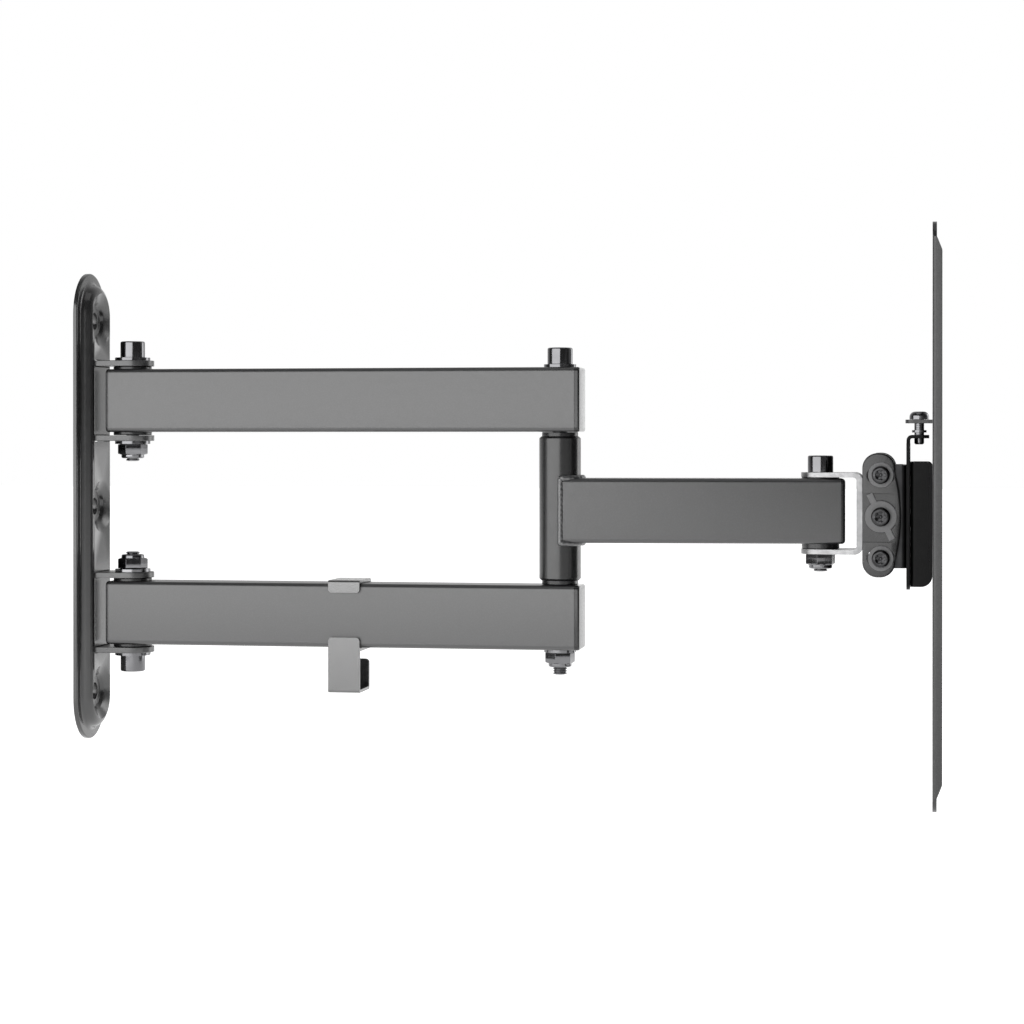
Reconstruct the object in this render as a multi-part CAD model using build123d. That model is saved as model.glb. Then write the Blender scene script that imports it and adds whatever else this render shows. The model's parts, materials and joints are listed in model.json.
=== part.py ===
from build123d import *
from math import cos, radians, sin, sqrt
import os

os.makedirs("parts", exist_ok=True)

# Full motion television wall mount, in millimetres.
# Origin: centre of the wall plate's back plane. +X leaves the wall, +Z is up.

# Cutters run past the faces they cut by this much, or right through
overshoot = 1.0
through = 60.0

# Driving dimensions: layout
wall_pivot_x = 20.3
arm_centre_z = 45.5
rear_arm_length = 186.5
front_arm_length = 108.5
front_swing_deg = 5.0
front_arm_z = -0.8
head_drop = 0.9
head_z = front_arm_z - head_drop
elbow_x = wall_pivot_x + rear_arm_length
head_x = elbow_x + front_arm_length * cos(radians(front_swing_deg))
head_y = front_arm_length * sin(radians(front_swing_deg))

# Wall plate: a dished oval of pressed sheet with three recessed screw holes
plate_width = 37.5
plate_height = 201.0
plate_sheet = 1.8
plate_rise = 6.5
plate_crown_round = 4.0
plate_inner_round = 2.2
plate_foot_round = 2.0
rim_width = 4.6
rim_round = 0.6
dish_draft = 1.4
wall_hole_radius = 3.65
wall_hole_pitch = 80.0
recess_floor = 3.1
recess_floor_radius = 6.8
recess_throat = 4.4
recess_throat_radius = 7.9
recess_throat_round = 0.8
recess_mouth_radius = 12.0
recess_spread = 1.3
recess_collar_radius = 5.3

# Pivot stack: tube, bush flange, play, ear, washer, screw head
tube_height = 27.0
tube_depth = 19.0
tube_wall = 1.5
tube_corner = 2.0
tube_inner_corner = 0.6
tube_overhang = 8.0
elbow_overhang = 7.3
bush_flange = 1.3
bush_barrel_radius = 4.5
bush_barrel_length = 8.0
bush_flange_radius = 8.2
head_bush_flange_radius = 7.8
bush_round = 0.4
face_play = 0.1
ear_sheet = 2.4
ear_radius = 9.2
ear_round = 0.3
ear_slot_half = 1.5
ear_inner = tube_height / 2 + bush_flange + face_play
ear_middle = ear_inner + ear_sheet / 2
ear_outer = ear_inner + ear_sheet
washer_thickness = 1.3
washer_radius = 7.6

# M6 pivot hardware
pivot_radius = 3.0
running_clearance = 0.07
fixed_clearance = 0.05
loose_clearance = 0.3
cap_head_radius = 5.3
cap_head_height = 7.0
cap_head_round = 0.7
thread_bevel = 0.6
socket_flats = 5.0
socket_depth = 3.4
nut_flats = 11.0
nut_bevel = 0.4
nut_turn_deg = 20.0
nut_hex_height = 4.6
nut_collar_radius = 4.9
nut_collar_height = 1.6
nut_collar_round = 0.6
thread_tail = 1.2

# Elbow
sleeve_radius = 8.75
sleeve_bore = 6.75
sleeve_half = 30.1
sleeve_chamfer = 0.8
elbow_bush_flange = 1.8
elbow_bush_flange_radius = 7.6
elbow_washer_radius = 6.8
elbow_thread_tail = 3.2
spacer_radius = 5.0

# End plugs
wall_plug_flange = 1.2
end_cap_flange = 2.1
plug_fin_length = 6.0
plug_fin_wall = 1.2
plug_fin_height = 16.0
plug_round = 0.8
front_tube_start = 0.6
front_plug_flange = 1.8
front_plug_round = 1.4

# Cable clip on the lower arm
clip_x = 116.3
clip_width = 13.6
clip_wall = 1.3
clip_gap = 0.15
clip_lip = 4.0
hook_drop = 18.8
hook_lip = 4.6
hook_reach = 19.2
hook_rear_height = 13.0
clip_bend = 1.1
clip_corner = 1.6

# Swivel bracket and tilt yoke, measured from the head pivot
swivel_ear_radius = 8.0
swivel_sheet = 2.0
swivel_outer = ear_inner + swivel_sheet
swivel_bend_outer = 3.4
swivel_bend_inner = 1.4
swivel_flare = 4.0
swivel_web_x = 15.1
swivel_web_sheet = 2.6
swivel_web_half = 10.0
yoke_x = swivel_web_x + swivel_web_sheet
yoke_sheet = 2.0
yoke_half_width = 19.0
yoke_end_x = 31.0
yoke_belly_x = 33.3
yoke_top = 25.9
yoke_bottom = 24.8
yoke_corner = 6.2
yoke_edge_round = 0.8
yoke_straight = 18.0
yoke_web_half = 7.0
yoke_recess = 0.5
yoke_recess_low = -10.4
yoke_recess_high = 9.4
yoke_recess_round = 2.0
yoke_pad_radius = 6.6
rivet_heights = (-4.5, 4.5)
rivet_radius = 2.0
rivet_head_radius = 3.0
rivet_head_height = 1.2
rivet_back_height = 0.95
rivet_doming = 0.7

# Tilt hinge
tilt_x = 25.2
tilt_z = -2.6
tilt_limit_deg = 10.0
clamp_pitch = 17.0
tilt_screw_radius = 2.5
tilt_slot_width = 2 * (tilt_screw_radius + loose_clearance)
tilt_head_radius = 3.9
clamp_head_radius = 3.65
screw_head_height = 2.8
screw_head_round = 0.9
lobe_socket_depth = 1.6
lobe_core_radius = 1.44
lobe_pitch_radius = 1.5
lobe_radius = 0.6
clamp_washer_radius = 5.1
clamp_washer_sheet = 1.1
wing_ring_radius = 6.4
wing_reach = 10.3
wing_width = 2.5
wing_sheet = 1.0
wing_angle_deg = 116.5
tilt_nut_flats = 8.0
tilt_nut_height = 4.0
friction_radius = 5.2
friction_sheet = 0.8

# Tilt bracket and hook plate
tilt_sheet = 1.6
tilt_half_width = yoke_half_width - yoke_sheet - friction_sheet - face_play
tilt_rear_x = tilt_x - 4.0
tilt_web_x = 33.8
tilt_half_height = 21.1
tilt_flange_inner = tilt_half_width - tilt_sheet
tilt_bend = 2.0
tilt_corner = 2.5
hook_x = tilt_web_x + tilt_sheet
hook_sheet = 1.4
hook_half_width = 15.0
hook_top = 30.7
hook_bottom = -32.7
hook_tab_end = 44.6
hook_tab_half = 9.0
hook_corner = 5.0
hook_tab_corner = 3.0
hook_shoulder = 3.4
hook_bend = 2.2
hook_bend_inner = 0.8
stud_heights = (13.0, -8.0)
stud_neck_radius = 3.0
stud_head_radius = 5.0
stud_head_thickness = 1.6
stud_tail_radius = 2.5
stud_play = 0.2
stud_head_bevel = 0.5
stud_tail_head_radius = 3.8
stud_tail_head_height = 1.3
stud_tail_round = 0.9

# Slide channel on the screen plate
channel_x = 37.0
channel_sheet = 1.5
channel_half_width = 13.0
channel_top = 19.7
channel_bottom = -31.4
channel_flange_half = 19.0
channel_flange_top = 18.5
channel_flange_bottom = -25.3
channel_flange_sheet = 1.2
channel_bend = 1.8
channel_top_corner = 1.8
channel_bottom_corner = 4.6
lift_travel = 9.0
keyhole_radius = 5.3

# Screen plate (hole patterns 200, 100 and 75)
screen_x = 45.9
screen_sheet = 1.6
screen_half = 110.0
screen_corner = 8.0
screen_flange = 3.6
screen_flange_half = 104.0
screen_flange_taper = 5.0
screen_flange_round = 3.0
screen_bend = 1.2
window_inner = 62.0
window_outer = 96.0
window_inner_half = 38.0
window_outer_half = 74.0
window_corner = 5.0
large_hole_pitch = 200.0
large_hole_radius = 3.25
small_hole_pitches = (100.0, 75.0)
small_hole_radius = 2.6
lock_tab_z = 35.5
lock_tab_sheet = 1.5
lock_tab_end = 34.9
lock_tab_half = 6.0
lock_tab_corner = 3.0
lance_gap = 0.8
lance_height = 12.0

# Lock screw
lock_x = 40.5
lock_radius = 2.0
lock_head_radius = 4.0
lock_head_height = 3.3
lock_head_round = 2.3
lock_tip_bevel = 0.5
lock_tip_z = 26.8
cross_half_length = 2.0
cross_half_width = 0.45
cross_depth = 1.7
ring_z = 31.7
ring_sheet = 1.0
ring_radius = 3.0


# Shared shapes

def rod(radius, z0, z1, x=0.0, y=0.0):
    """A round bar along Z from z0 to z1."""
    bar = Cylinder(radius, z1 - z0, align=(Align.CENTER, Align.CENTER, Align.MIN))
    return Pos(x, y, z0) * bar


def ring(outer, inner, z0, z1, x=0.0, y=0.0):
    """A washer or sleeve along Z."""
    return rod(outer, z0, z1, x, y) - rod(inner, z0 - overshoot, z1 + overshoot, x, y)


def block(x0, x1, y0, y1, z0, z1):
    """A box between two corners."""
    box = Box(x1 - x0, y1 - y0, z1 - z0, align=(Align.MIN, Align.MIN, Align.MIN))
    return Pos(x0, y0, z0) * box


def edges_at(shape, axis, where, parallel_to=None, tolerance=0.05):
    """The edges whose centre lies at a height along an axis, optionally parallel to another."""
    found = shape.edges() if parallel_to is None else shape.edges().filter_by(parallel_to)
    return [e for e in found if abs(e.center().dot(axis) - where) < tolerance]


def round_at(sketch, x, y, radius):
    """A sketch with its corner at (x, y) rounded."""
    corner = [v for v in sketch.vertices() if abs(v.X - x) < 0.01 and abs(v.Y - y) < 0.01]
    return fillet(corner, radius)


def move(solids, place):
    """Several solids moved to one place."""
    return [place * solid for solid in solids]


def hex_prism(flats, z0, z1):
    """A hexagonal bar along Z, given its width across flats."""
    sketch = RegularPolygon(flats / 2, 6, major_radius=False)
    return Pos(0, 0, z0) * extrude(sketch, z1 - z0)


def bevelled_hex(flats, z0, z1, bevel):
    """A hexagonal bar whose ends are turned down at the corners, as on a nut."""
    blank = rod(flats / sqrt(3), z0, z1)
    blank = chamfer(blank.edges().filter_by(GeomType.CIRCLE), bevel)
    return hex_prism(flats, z0, z1) & blank


def cap_screw(head_radius, head_height, shank_radius, shank_length, flats, depth):
    """A cap-head screw: seat at z = 0, head above, shank below, hexagonal socket."""
    head = rod(head_radius, 0, head_height)
    head = fillet(edges_at(head, Vector(0, 0, 1), head_height), cap_head_round)
    head -= hex_prism(flats, head_height - depth, head_height + overshoot)
    shank = rod(shank_radius, -shank_length, 0)
    shank = chamfer(edges_at(shank, Vector(0, 0, 1), -shank_length), thread_bevel)
    return head + shank


def lock_nut(flats, hex_height, collar_radius, collar_height, bore):
    """A hexagonal lock nut standing on z = 0, with its nylon collar on top."""
    nut = bevelled_hex(flats, 0, hex_height, nut_bevel)
    top = hex_height + collar_height
    collar = rod(collar_radius, hex_height, top)
    collar = fillet(edges_at(collar, Vector(0, 0, 1), top), nut_collar_round)
    return nut + collar - rod(bore, -overshoot, top + overshoot)


def flanged_bush(flange_radius, flange, barrel_radius, barrel, bore):
    """A bush whose flange lies on z = 0 to flange and whose barrel hangs below."""
    disc = rod(flange_radius, 0, flange)
    disc = fillet(edges_at(disc, Vector(0, 0, 1), flange), min(bush_round, flange / 3))
    return disc + rod(barrel_radius, -barrel, 0) - rod(bore, -barrel - overshoot, flange + overshoot)


def lobed_screw(head_radius, head_height, shank_radius, shank_length):
    """A low round-headed screw with a six-lobed socket, seat at z = 0."""
    head = rod(head_radius, 0, head_height)
    head = fillet(edges_at(head, Vector(0, 0, 1), head_height), screw_head_round)
    floor = head_height - lobe_socket_depth
    socket = rod(lobe_core_radius, floor, head_height + overshoot)
    for lobe in range(6):
        turn = radians(60 * lobe)
        x = lobe_pitch_radius * cos(turn)
        y = lobe_pitch_radius * sin(turn)
        socket += rod(lobe_radius, floor, head_height + overshoot, x, y)
    return head - socket + rod(shank_radius, -shank_length, 0)


def rect_tube(x0, x1, z, holes):
    """A rounded rectangular tube along X, drilled through top and bottom at each (x, radius)."""
    outer = RectangleRounded(tube_depth, tube_height, tube_corner)
    bore = 2 * tube_wall
    inner = RectangleRounded(tube_depth - bore, tube_height - bore, tube_inner_corner)
    tube = Pos(x0, 0, z) * extrude(Plane.YZ * (outer - inner), x1 - x0)
    for x, radius in holes:
        tube -= rod(radius, z - tube_height, z + tube_height, x)
    return tube


def tube_plug(x, z, flange, side, rounding):
    """An end plug: a rounded flange outside the tube and two fins inside it."""
    face = extrude(Plane.YZ * RectangleRounded(tube_depth, tube_height, tube_corner), side * flange)
    face = fillet(edges_at(face, Vector(1, 0, 0), side * flange), rounding)
    plug = Pos(x, 0, z) * face
    fin_y = tube_depth / 2 - tube_wall - fixed_clearance
    reach = x - side * plug_fin_length
    half = plug_fin_height / 2
    for y0, y1 in ((-fin_y, -fin_y + plug_fin_wall), (fin_y - plug_fin_wall, fin_y)):
        plug += block(min(x, reach), max(x, reach), y0, y1, z - half, z + half)
    return plug


# Wall plate and its two pivot brackets

def oval(profile):
    """An oval solid from half its cross profile, drawn as (distance from the middle line, height)."""
    section = Plane(origin=(0, 0, 0), x_dir=(0, 1, 0), z_dir=(0, 0, -1)) * profile
    centre = (plate_height - plate_width) / 2
    body = Pos(0, 0, -centre) * extrude(section, 2 * centre, dir=(0, 0, 1))
    body += mirror(body, Plane.XZ)
    for side in (1, -1):
        end_axis = Axis((0, 0, side * centre), (side, 0, 0))
        body += revolve(Pos(0, 0, side * centre) * section, end_axis, 180)
    return body


def dish(*points):
    """A solid of revolution about X through points drawn as (radius, height)."""
    profile = make_face(Polyline(*points, close=True))
    if (recess_throat_radius, recess_throat) in points:
        profile = round_at(profile, recess_throat_radius, recess_throat, recess_throat_round)
    return revolve(Plane(origin=(0, 0, 0), x_dir=(0, 1, 0), z_dir=(0, 0, -1)) * profile, Axis.X, 360)


def wall_plate():
    """Pressed oval plate: flat rim, raised face and three dished screw holes."""
    outer = plate_width / 2
    foot = outer - rim_width
    crown = foot - dish_draft
    inner_foot = foot - plate_sheet
    inner_crown = inner_foot - dish_draft * 0.75
    inner_top = plate_rise - plate_sheet
    skin = make_face(
        Polyline(
            (0, 0),
            (outer, 0),
            (outer, plate_sheet),
            (foot, plate_sheet),
            (crown, plate_rise),
            (0, plate_rise),
            close=True,
        )
    )
    skin = round_at(skin, crown, plate_rise, plate_crown_round)
    skin = round_at(skin, foot, plate_sheet, plate_foot_round)
    skin = round_at(skin, outer, plate_sheet, rim_round)
    hollow = make_face(
        Polyline(
            (0, -overshoot),
            (inner_foot, -overshoot),
            (inner_foot, 0),
            (inner_crown, inner_top),
            (0, inner_top),
            close=True,
        )
    )
    hollow = round_at(hollow, inner_crown, inner_top, plate_inner_round)
    recess = dish(
        (0, recess_floor),
        (recess_floor_radius, recess_floor),
        (recess_throat_radius, recess_throat),
        (recess_mouth_radius, plate_rise),
        (recess_mouth_radius, plate_rise + overshoot),
        (0, plate_rise + overshoot),
    )
    # The sheet behind a recess follows it, with a short drawn collar that stands on the wall.
    backing = dish(
        (0, 0),
        (recess_collar_radius, 0),
        (recess_collar_radius, recess_floor - plate_sheet),
        (recess_floor_radius + recess_spread, recess_floor - plate_sheet),
        (recess_throat_radius + recess_spread, recess_throat - plate_sheet),
        (recess_mouth_radius + recess_spread, inner_top),
        (recess_mouth_radius + recess_spread, plate_rise),
        (0, plate_rise),
    )
    hole_heights = (-wall_hole_pitch, 0, wall_hole_pitch)
    cavity = oval(hollow)
    for z in hole_heights:
        cavity -= Pos(0, 0, z) * backing
    body = oval(skin) - cavity
    for z in hole_heights:
        body -= Pos(0, 0, z) * recess
        body -= Pos(0, 0, z) * Rot(0, 90, 0) * rod(wall_hole_radius, -overshoot, plate_rise)
    slot_half = ear_radius + loose_clearance
    slot_back = plate_sheet + face_play
    for arm_z in (-arm_centre_z, arm_centre_z):
        for z in (arm_z - ear_middle, arm_z + ear_middle):
            top = plate_rise + overshoot
            body -= block(slot_back, top, -slot_half, slot_half, z - ear_slot_half, z + ear_slot_half)
    return body


def wall_bracket(z):
    """A folded bracket: a web behind the wall plate and two ears through its slots."""
    web_front = plate_rise - plate_sheet - fixed_clearance
    web_back = web_front - ear_sheet
    outline = Circle(ear_radius) + Pos(-(wall_pivot_x - web_back) / 2, 0) * Rectangle(
        wall_pivot_x - web_back, 2 * ear_radius
    )
    outline -= Circle(pivot_radius + fixed_clearance)
    ear = Pos(wall_pivot_x, 0, 0) * extrude(outline, ear_sheet)
    ear = fillet(edges_at(ear, Vector(0, 0, 1), ear_sheet), ear_round)
    bracket = Pos(0, 0, z + ear_inner) * ear + Pos(0, 0, z - ear_inner) * mirror(ear, Plane.XY)
    web = block(web_back, web_front, -ear_radius, ear_radius, z - ear_outer, z + ear_outer)
    return bracket + web


# Place of the front arm and of the head at rest
front_place = Location((elbow_x, 0, 0), (0, 0, front_swing_deg))
head_place = Location((head_x, head_y, 0))


def pivot_screw(upside_down, z, reach, seat, tail):
    """A cap screw and its lock nut through a stack that reaches from z - reach to z + seat."""
    shank = seat + reach + nut_hex_height + nut_collar_height + tail
    bore = pivot_radius + fixed_clearance
    screw = cap_screw(cap_head_radius, cap_head_height, pivot_radius, shank, socket_flats, socket_depth)
    nut = lock_nut(nut_flats, nut_hex_height, nut_collar_radius, nut_collar_height, bore)
    turn = Rot(0, 0, nut_turn_deg)
    if upside_down:
        return Pos(0, 0, z - seat) * Rot(180, 0, 0) * screw, Pos(0, 0, z + reach) * turn * nut
    return Pos(0, 0, z + seat) * screw, Pos(0, 0, z - reach) * turn * Rot(180, 0, 0) * nut


nodes = {}
nodes["wall_plate"] = [wall_plate()]
nodes["upper_wall_bracket"] = [wall_bracket(arm_centre_z)]
nodes["lower_wall_bracket"] = [wall_bracket(-arm_centre_z)]

wall_stack = ear_outer + washer_thickness
wall_pivot = Pos(wall_pivot_x, 0, 0)
upper_screw, upper_nut = pivot_screw(False, arm_centre_z, wall_stack, wall_stack, thread_tail)
lower_screw, lower_nut = pivot_screw(True, -arm_centre_z, wall_stack, wall_stack, thread_tail)
nodes["upper_wall_pivot_screw"] = [wall_pivot * upper_screw]
nodes["lower_wall_pivot_screw"] = [wall_pivot * lower_screw]
nodes["wall_pivot_lock_nuts"] = [wall_pivot * upper_nut, wall_pivot * lower_nut]

wall_washers = []
for arm_z in (arm_centre_z, -arm_centre_z):
    for z0 in (arm_z + ear_outer, arm_z - wall_stack):
        washer = ring(washer_radius, pivot_radius + fixed_clearance, z0, z0 + washer_thickness)
        wall_washers.append(wall_pivot * washer)
nodes["wall_pivot_washers"] = wall_washers

# Rear arm: two tubes, joined at the elbow by one long screw

tube_start = wall_pivot_x - tube_overhang
tube_end = elbow_x + elbow_overhang
wall_bushes = []
spacers = []
for name, arm_z in (("upper", arm_centre_z), ("lower", -arm_centre_z)):
    drilled = (
        (wall_pivot_x, bush_barrel_radius + fixed_clearance),
        (elbow_x, pivot_radius + fixed_clearance),
    )
    nodes[name + "_arm_tube"] = [rect_tube(tube_start, tube_end, arm_z, drilled)]
    nodes[name + "_arm_wall_plug"] = [tube_plug(tube_start, arm_z, wall_plug_flange, -1, plug_round)]
    nodes[name + "_arm_end_cap"] = [tube_plug(tube_end, arm_z, end_cap_flange, 1, plug_round)]
    running_bore = pivot_radius + running_clearance
    bush = flanged_bush(bush_flange_radius, bush_flange, bush_barrel_radius, bush_barrel_length, running_bore)
    wall_bushes.append(Pos(wall_pivot_x, 0, arm_z + tube_height / 2) * bush)
    wall_bushes.append(Pos(wall_pivot_x, 0, arm_z - tube_height / 2) * Rot(180, 0, 0) * bush)
    inside = tube_height / 2 - tube_wall
    spacer_bore = pivot_radius + fixed_clearance
    spacers.append(ring(spacer_radius, spacer_bore, arm_z - inside, arm_z + inside, elbow_x))
nodes["wall_pivot_bushes"] = wall_bushes
nodes["elbow_spacers"] = spacers

elbow_seat = arm_centre_z + tube_height / 2 + washer_thickness
elbow_screw, elbow_nut = pivot_screw(False, 0, elbow_seat, elbow_seat, elbow_thread_tail)
nodes["elbow_screw"] = [Pos(elbow_x, 0, 0) * elbow_screw]
nodes["elbow_lock_nut"] = [Pos(elbow_x, 0, 0) * elbow_nut]
elbow_washer_bore = pivot_radius + fixed_clearance
nodes["elbow_washers"] = [
    ring(elbow_washer_radius, elbow_washer_bore, z0, z0 + washer_thickness, elbow_x)
    for z0 in (elbow_seat - washer_thickness, -elbow_seat)
]


def cable_clip():
    """A bent strip clipped round the lower arm, with a cable hook hanging under it."""
    inner_y = tube_depth / 2 + clip_gap
    outer_y = inner_y + clip_wall
    top = -arm_centre_z + tube_height / 2 + clip_gap
    bottom = -arm_centre_z - tube_height / 2 - clip_gap
    low = bottom - hook_drop
    rear = -outer_y + hook_reach

    def bar(y0, y1, z0, z1):
        return Pos((y0 + y1) / 2, (z0 + z1) / 2) * Rectangle(y1 - y0, z1 - z0)

    strip = bar(-outer_y, -inner_y, top - clip_lip, top + clip_wall)
    strip += bar(-outer_y, outer_y, top, top + clip_wall)
    strip += bar(inner_y, outer_y, bottom - clip_wall, top + clip_wall)
    strip += bar(-outer_y, outer_y, bottom - clip_wall, bottom)
    strip += bar(-outer_y, -inner_y, low, bottom + hook_lip)
    strip += bar(-outer_y, rear, low, low + clip_wall)
    strip += bar(rear - clip_wall, rear, low, low + hook_rear_height)
    bends = [
        v
        for v in strip.vertices()
        if (abs(abs(v.X) - outer_y) < 0.01 and abs(v.Y - top - clip_wall) < 0.01)
        or (abs(v.X - outer_y) < 0.01 and abs(v.Y - bottom + clip_wall) < 0.01)
        or (abs(v.Y - low) < 0.01)
    ]
    strip = fillet(bends, clip_bend)
    clip = extrude(Plane.YZ * strip, clip_width / 2, both=True)
    ends = (top - clip_lip, bottom + hook_lip, low + hook_rear_height)
    across = [
        e
        for e in clip.edges().filter_by(Axis.Y)
        if abs(e.length - clip_wall) < 0.01 and min(abs(e.center().Z - z) for z in ends) < 0.01
    ]
    clip = fillet(across, clip_corner)
    return Pos(clip_x, 0, 0) * clip


nodes["cable_clip"] = [cable_clip()]

# Front arm, drawn along X from the elbow and then swung into place

sleeve = ring(sleeve_radius, sleeve_bore, -sleeve_half, sleeve_half)
rims = [e for e in sleeve.edges().filter_by(GeomType.CIRCLE) if abs(e.radius - sleeve_radius) < 0.01]
sleeve = chamfer(rims, sleeve_chamfer)
front_end = front_arm_length + tube_overhang
head_bush_holes = ((front_arm_length, bush_barrel_radius + fixed_clearance),)
front_tube = rect_tube(front_tube_start, front_end, front_arm_z, head_bush_holes)
front_tube -= rod(sleeve_radius, -sleeve_half, sleeve_half)
front_plug = tube_plug(front_end, front_arm_z, front_plug_flange, 1, front_plug_round)
elbow_bushes = []
head_bushes = []
for side in (1, -1):
    flip = Rot(90 - 90 * side, 0, 0)
    bush = flanged_bush(
        elbow_bush_flange_radius,
        elbow_bush_flange,
        sleeve_bore - fixed_clearance,
        bush_barrel_length,
        pivot_radius + running_clearance,
    )
    elbow_bushes.append(Pos(0, 0, side * sleeve_half) * flip * bush)
    # The head hangs a little below the arm's middle, so the upper flange is thin and the lower one thick.
    bush = flanged_bush(
        head_bush_flange_radius,
        bush_flange - side * head_drop,
        bush_barrel_radius,
        bush_barrel_length,
        pivot_radius + running_clearance,
    )
    head_bushes.append(Pos(front_arm_length, 0, front_arm_z + side * tube_height / 2) * flip * bush)
nodes["elbow_sleeve"] = move([sleeve], front_place)
nodes["front_arm_tube"] = move([front_tube], front_place)
nodes["front_arm_end_plug"] = move([front_plug], front_place)
nodes["elbow_bushes"] = move(elbow_bushes, front_place)
nodes["head_pivot_bushes"] = move(head_bushes, front_place)

# Swivel bracket and tilt yoke, drawn from the head pivot


def swivel_bracket():
    """Two ears over and under the front arm, joined by a web, with rounded bends."""
    web_back = swivel_web_x + swivel_web_sheet
    side = block(0, web_back, -swivel_web_half, swivel_web_half, -swivel_outer, swivel_outer)
    bends = edges_at(side, Vector(1, 0, 0), web_back, Axis.Y)
    side = fillet(bends, swivel_bend_outer)
    hollow = block(-through, swivel_web_x, -through, through, -ear_inner, ear_inner)
    hollow = fillet(edges_at(hollow, Vector(1, 0, 0), swivel_web_x, Axis.Y), swivel_bend_inner)
    flare = make_face(
        Polyline(
            (0, -swivel_ear_radius),
            (web_back - swivel_flare, -swivel_web_half),
            (web_back, -swivel_web_half),
            (web_back, swivel_web_half),
            (web_back - swivel_flare, swivel_web_half),
            (0, swivel_ear_radius),
            close=True,
        )
    )
    outline = flare + Circle(swivel_ear_radius) - Circle(pivot_radius + fixed_clearance)
    column = Pos(0, 0, -swivel_outer) * extrude(outline, 2 * swivel_outer)
    nose = rod(swivel_ear_radius, -swivel_outer, swivel_outer)
    bracket = (side + nose) & column
    bracket -= hollow
    for z in rivet_heights:
        hole = rod(rivet_radius + fixed_clearance, 0, through)
        bracket -= Pos(0, 0, z + tilt_z - head_z) * Rot(0, 90, 0) * hole
    return Pos(0, 0, head_z) * bracket


def side_outline():
    """Outline of one yoke cheek in X and Z, from the tilt axis height: straight back, bellied front."""
    belly = ThreePointArc((yoke_end_x, -yoke_straight), (yoke_belly_x, 0.0), (yoke_end_x, yoke_straight))
    back = Polyline(
        (yoke_end_x, yoke_straight),
        (yoke_end_x, yoke_top),
        (yoke_x, yoke_top),
        (yoke_x, -yoke_bottom),
        (yoke_end_x, -yoke_bottom),
        (yoke_end_x, -yoke_straight),
    )
    outline = make_face(Wire([belly, *back.edges()]))
    corners = [v for v in outline.vertices() if abs(v.Y) > yoke_straight + overshoot]
    return fillet(corners, yoke_corner)


def tilt_yoke():
    """Two rounded cheeks joined by a short web riveted to the swivel bracket."""
    blank = extrude(Plane.XZ * side_outline(), yoke_sheet)
    face = blank.faces().sort_by(Axis.Y)[0]
    blank = fillet(face.outer_wire().edges(), yoke_edge_round)
    cheek = Pos(0, -yoke_half_width + yoke_sheet, 0) * blank
    cuts = Circle(tilt_screw_radius + fixed_clearance)
    for start in (90, 270):
        path = CenterArc((0, 0), clamp_pitch, start - tilt_limit_deg, 2 * tilt_limit_deg)
        cuts += SlotArc(path, tilt_slot_width)
    cheek -= Pos(tilt_x, 0, 0) * extrude(Plane.XZ * cuts, through, both=True)
    face_y = -yoke_half_width
    pocket_back = yoke_x - yoke_recess_round
    pocket_floor = face_y + yoke_recess
    pocket = block(
        pocket_back, yoke_end_x, face_y - overshoot, pocket_floor, yoke_recess_low, yoke_recess_high
    )
    pocket = fillet(pocket.edges().filter_by(Axis.Y), yoke_recess_round)
    pad = Rot(90, 0, 0) * rod(yoke_pad_radius, -pocket_floor, -face_y + overshoot)
    cheek -= pocket - Pos(tilt_x, 0, 0) * pad
    web_half = yoke_half_width - yoke_sheet
    web = block(yoke_x, yoke_x + yoke_sheet, -web_half, web_half, -yoke_web_half, yoke_web_half)
    for z in rivet_heights:
        web -= Pos(0, 0, z) * Rot(0, 90, 0) * rod(rivet_radius + fixed_clearance, 0, through)
    return Pos(0, 0, tilt_z) * (cheek + mirror(cheek, Plane.XZ) + web)


def rivet(x0, x1, head_in, head_out):
    """A rivet along X through sheets from x0 to x1, with a domed head at each end."""
    body = Rot(0, 90, 0) * rod(rivet_radius, x0, x1)
    left = rod(rivet_head_radius, x0 - head_in, x0)
    left = fillet(edges_at(left, Vector(0, 0, 1), x0 - head_in), head_in * rivet_doming)
    right = rod(rivet_head_radius, x1, x1 + head_out)
    right = fillet(edges_at(right, Vector(0, 0, 1), x1 + head_out), head_out * rivet_doming)
    return body + Rot(0, 90, 0) * left + Rot(0, 90, 0) * right


def facing(side, solid):
    """A fastener drawn head-up along Z, turned so that its head faces outward along Y."""
    return Rot(90, 0, 0) * solid if side < 0 else Rot(-90, 0, 0) * solid


def wing_washer():
    """A round washer with two opposite tabs."""
    sketch = Circle(wing_ring_radius)
    sketch += Rot(0, 0, wing_angle_deg) * Rectangle(2 * wing_reach, wing_width)
    sketch -= Circle(tilt_screw_radius + fixed_clearance)
    return extrude(sketch, wing_sheet)


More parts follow.
